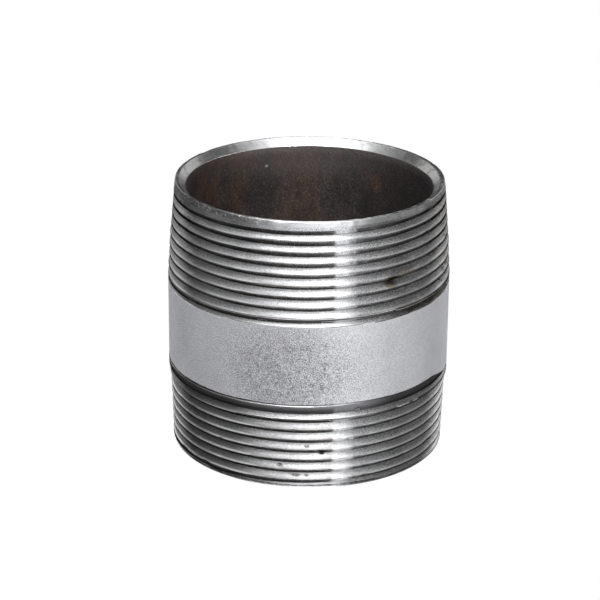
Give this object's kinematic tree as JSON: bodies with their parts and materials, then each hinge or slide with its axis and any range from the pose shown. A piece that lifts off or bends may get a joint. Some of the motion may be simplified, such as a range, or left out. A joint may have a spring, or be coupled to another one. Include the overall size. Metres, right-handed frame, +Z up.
{
  "type": "threaded pipe nipple",
  "caption": "Short steel pipe nipple with an external taper thread on each end and a plain coated band between them, open right through.",
  "frame": {"origin": "centre of the lower end face", "axes": "+Z up along the pipe axis; -Y is the front; the lower thread is the shorter one"},
  "size_m": [0.0602, 0.0602, 0.0585],
  "materials": {
    "bare_steel": "die-cut threads and turned ends, bore dark and lightly rusted",
    "zinc": "pale grey galvanised zinc, matt, finely speckled"
  },
  "bodies": {
    "root": {"nipple_body": "bare_steel", "zinc_coating": "zinc"}
  },
  "joints": []
}
